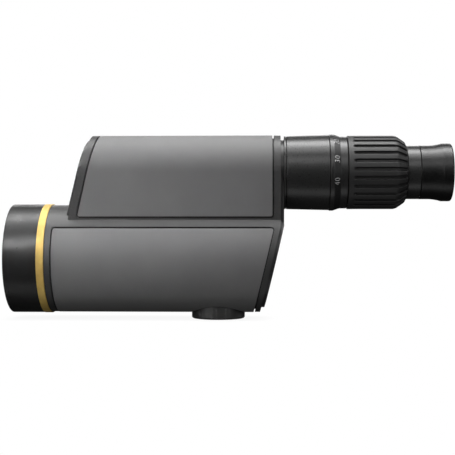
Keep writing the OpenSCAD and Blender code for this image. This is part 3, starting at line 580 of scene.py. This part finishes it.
def number_on_cone(text, degrees, middle_x, height, cone_radius):
    """Thin raised digits wrapped on the number ring, their tops toward the objective."""
    curve = bpy.data.curves.new("number_" + text, "FONT")
    curve.body = text
    curve.align_x = "CENTER"
    curve.extrude = 0.01
    curve.offset = -0.018
    curve.space_character = 1.12
    source = bpy.data.objects.new("number_source", curve)
    bpy.context.scene.collection.objects.link(source)
    bpy.context.view_layer.update()
    evaluated = source.evaluated_get(bpy.context.evaluated_depsgraph_get())
    flat = bpy.data.meshes.new_from_object(evaluated)
    faces = [tuple(face.vertices) for face in flat.polygons]
    corners = [v.co.copy() for v in flat.vertices]
    bpy.data.objects.remove(source)
    tall = max(c.y for c in corners)
    scale = height / tall
    vertices = []
    for corner in corners:
        x = middle_x + height / 2 - corner.y * scale
        radius = cone_radius(x) + 0.03 + corner.z
        angle = math.radians(degrees) + corner.x * scale / radius
        vertices.append(EYEPIECE_AXIS.point(x, radius, angle))
    piece = mesh_object("zoom_number_" + text, vertices, faces)
    piece.data.materials.append(PRINT)
    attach(piece, BODY_OF["zoom_ring"])


def dial_numbers():
    radius = outside_radius("zoom_ring")
    cone_start = ends("eyepiece_tube")[1] + 3.0
    slant = 1.6 / 4.7

    def cone_radius(x):
        return radius - max(0.0, x - cone_start) * slant

    for text, degrees in (("12", 86), ("20", 52), ("30", 18), ("40", -16)):
        number_on_cone(text, degrees, cone_start + 2.0, 3.6, cone_radius)


# ---- Focus knob ----


def knob_ends(node):
    """Inner and outer faces of a CAD node along the knob's axis."""
    low, high = box_mm(node)
    return low.y, high.y


def focus_knob():
    """Knob core: a hub, a rim that holds the rubber, and a face dished in turned steps."""
    inner, outer = knob_ends("focus_knob")
    shaft_end = knob_ends("focus_shaft")[1]
    core = outside_radius("focus_knob_grip") - 2.6
    bore = outside_radius("focus_shaft") + 0.02
    piece = lathe("knob_core", KNOB_AXIS, [
        (inner, bore, 0), (inner, core + 1.2, 0.3), (inner + 1.4, core + 1.2, 0.2),
        (inner + 1.4, core, 0), (outer - 1.6, core, 0), (outer - 1.6, core + 0.9, 0.2),
        (outer - 0.6, core + 0.9, 0.3), (outer, core - 0.2, 0.3), (outer, 10.4, 0.3),
        (outer - 0.7, 9.8, 0.3), (outer - 0.8, 7.2, 0.3), (outer - 0.5, 6.9, 0.2),
        (outer - 0.5, 0.02, 0), (shaft_end + 0.1, 0.02, 0), (shaft_end + 0.1, bore, 0),
    ])
    return stand_for(piece, "focus_knob")


def focus_knob_grip():
    """Rubber tyre of the knob: 24 open flutes between rounded lands."""
    inner, outer = knob_ends("focus_knob_grip")
    radius = outside_radius("focus_knob_grip")
    core, open_start = radius - 2.55, inner - 4
    flutes, flute_depth, flute_width = 24, 0.9, 1.9
    outline = spaced(softened([
        (inner, core, 0), (inner, radius, 0.5), (outer, radius, 0.9), (outer, core, 0),
    ]), 0.9)

    def floor(_):
        return radius - flute_depth

    piece = fluted_ring("knob_tyre", KNOB_AXIS, outline, flutes, flute_width, open_start, floor)
    return stand_for(piece, "focus_knob_grip")


# ---- CAD nodes that stay ----

# Width of the rounding on the edges of a CAD node. A node that isn't listed keeps its own edges.
EDGE_ROUNDING = {
    "upper_grip_panel": 0.25, "lower_grip_panel": 0.25, "front_cover": 0.8,
    "rear_cover": 0.7, "tripod_foot": 0.3, "front_cover_screws": 0.15,
    "rear_cover_screws": 0.15, "purge_screw": 0.15, "foot_screws": 0.15, "objective_cell": 0.2,
    "objective_retaining_ring": 0.2, "focus_bush": 0.2, "threaded_insert": 0.15,
}
# How far the skins of the two panels draw in, which opens the groove round each of them.
PANEL_SHRINK = {"upper_grip_panel": 0.45, "lower_grip_panel": 0.25}
SHARP_EDGE_DEGREES = 35
WELD_REACH = 0.005


def finish_cad_node(name, piece):
    """Gives a CAD node its slot's finish. A listed node's faces are joined and its edges rounded."""
    for index in range(len(piece.data.materials)):
        piece.data.materials[index] = FINISHES[SLOT_OF[name]]
    if name not in EDGE_ROUNDING:
        return
    weld = piece.modifiers.new("join", "WELD")
    weld.merge_threshold = WELD_REACH * MM
    if name in PANEL_SHRINK:
        shrink = piece.modifiers.new("groove", "DISPLACE")
        shrink.strength = -PANEL_SHRINK[name] * MM
        shrink.mid_level = 0.0
    bevel = piece.modifiers.new("edge", "BEVEL")
    bevel.width = EDGE_ROUNDING[name] * MM
    bevel.segments = 3
    bevel.limit_method = "ANGLE"
    bevel.angle_limit = math.radians(SHARP_EDGE_DEGREES)
    bevel.harden_normals = False
    weight_normals(piece)


# ---- Stage ----


FLOOR_GAP = 0.0003
# reach of the painted contact shadow on the floor, in metres
FLOOR_SHADE_REACH = 0.012
SURROUND_STRENGTH = 0.02


def floor():
    """Pale floor: white to the camera with a painted contact shadow close to the object, and clear to
    the lights and from below.
    """
    size = 6
    piece = mesh_object("floor", [(-size, -size, 0), (size, -size, 0), (size, size, 0),
                                  (-size, size, 0)], [(0, 1, 2, 3)])
    piece.location.z = CAD_BOX[0].z - FLOOR_GAP
    g = Graph("pale_floor")
    paths = g.add("LightPath")
    # painted contact shadow: ambient occlusion dims the floor's white close to the object
    contact_shadow_ao = g.add("AmbientOcclusion", {"Distance": FLOOR_SHADE_REACH}, samples=8).outputs["AO"]
    pale = g.add("Emission", {"Color": (1, 1, 1, 1), "Strength": g.ranged(contact_shadow_ao, 0.9, 1.0, 0, 1)})
    clear = g.add("BsdfTransparent")
    under = g.add("NewGeometry").outputs["Backfacing"]
    shown = g.math("SUBTRACT", paths.outputs["Is Camera Ray"], under)
    inputs = {0: g.math("MAXIMUM", shown, 0.0), 1: clear.outputs[0], 2: pale.outputs[0]}
    piece.data.materials.append(g.finish(g.add("MixShader", inputs).outputs[0]))


def world():
    """White behind the object, and a dim even surround that lights it from all sides."""
    surround = bpy.data.worlds.new("studio")
    surround.use_nodes = True
    bpy.context.scene.world = surround
    tree = surround.node_tree
    tree.nodes.clear()
    paths = tree.nodes.new("ShaderNodeLightPath")
    backdrop = tree.nodes.new("ShaderNodeBackground")
    backdrop.inputs["Color"].default_value = (1, 1, 1, 1)
    dim = tree.nodes.new("ShaderNodeBackground")
    dim.inputs["Strength"].default_value = SURROUND_STRENGTH
    mix = tree.nodes.new("ShaderNodeMixShader")
    output = tree.nodes.new("ShaderNodeOutputWorld")
    tree.links.new(paths.outputs["Is Camera Ray"], mix.inputs[0])
    tree.links.new(dim.outputs[0], mix.inputs[1])
    tree.links.new(backdrop.outputs[0], mix.inputs[2])
    tree.links.new(mix.outputs[0], output.inputs["Surface"])


def softbox(name, place, aim, width, height, power):
    light = bpy.data.lights.new(name, "AREA")
    light.shape = "RECTANGLE"
    light.size = width
    light.size_y = height
    light.energy = power
    lamp = bpy.data.objects.new(name, light)
    bpy.context.scene.collection.objects.link(lamp)
    lamp.location = place
    lamp.rotation_euler = (Vector(aim) - Vector(place)).to_track_quat("-Z", "Y").to_euler()
    return lamp


LIGHT_AIM = Vector((0, 0, 0.07))
LIGHT_REACH = 1.3
LONG_BOX = 1.5
SHORT_BOX = 0.9
END_BOX = 0.6


def row_of_light(name, rise, width, power, side=0.0):
    """A softbox that runs along the object, seen from it at an angle of rise over the viewer."""
    turn = math.radians(rise)
    place = LIGHT_AIM + Vector((side, -math.cos(turn), math.sin(turn))) * LIGHT_REACH
    softbox(name, place, LIGHT_AIM, LONG_BOX if side == 0 else SHORT_BOX, width, power)


def lights():
    """Soft light from overhead that fades to the viewer, with weaker light from every other side.

    The card is a small narrow beam that puts the highlight on the bell.
    """
    row_of_light("overhead", 97, 0.5, 25.5)
    row_of_light("overhead_front", 74, 0.45, 7)
    row_of_light("front_high", 38, 0.45, 4.4)
    row_of_light("front_low", 20, 0.45, 0.4)
    row_of_light("left_side", 12, 0.8, 6.5, -1.0)
    row_of_light("right_side", 12, 0.8, 3, 1.0)
    row_of_light("below", -65, 0.5, 1.7)
    row_of_light("behind", 165, 0.7, 9)
    softbox("front_end", (-LIGHT_REACH, 0.35, 0.35), LIGHT_AIM, END_BOX, END_BOX, 3)
    softbox("rear_end", (LIGHT_REACH, 0.35, 0.35), LIGHT_AIM, END_BOX, END_BOX, 3)
    card = softbox("bell_card", (-0.42, -0.95, 0.7), (-0.15, 0, 0.05), 0.3, 0.2, 0.11)
    card.data.spread = math.radians(12)


# The camera looks at a point by the box's middle, from a place given from that point, in metres.
AIM_SHIFT = Vector((-0.0024, 0, -0.0009))
CAMERA_OFFSET = Vector((0.0267, -0.775, 0.004))
LENS_MM = 84.4


def camera():
    low, high = CAD_BOX
    middle = (low + high) / 2
    aim = Vector((middle.x, 0, middle.z)) + AIM_SHIFT
    place = aim + CAMERA_OFFSET
    data = bpy.data.cameras.new("camera")
    data.lens = LENS_MM
    data.sensor_width = 36
    shot = bpy.data.objects.new("camera", data)
    bpy.context.scene.collection.objects.link(shot)
    shot.location = place
    shot.rotation_euler = (aim - place).to_track_quat("-Z", "Y").to_euler()
    bpy.context.scene.camera = shot
    bpy.context.scene.view_settings.view_transform = "Standard"


# ---- Assembly ----

PRINT = print_white()
DIAL = dial_black()
objective_bell()
trim_ring()
objective_lens()
eyepiece_base_ring()
eyepiece_tube()
zoom_ring()
zoom_grip()
eyepiece_neck()
eyecup()
dial_numbers()
focus_knob()
focus_knob_grip()
for node_name, cad_piece in frame["nodes"].items():
    if not cad_piece.hide_render:
        finish_cad_node(node_name, cad_piece)
floor()
world()
lights()
camera()
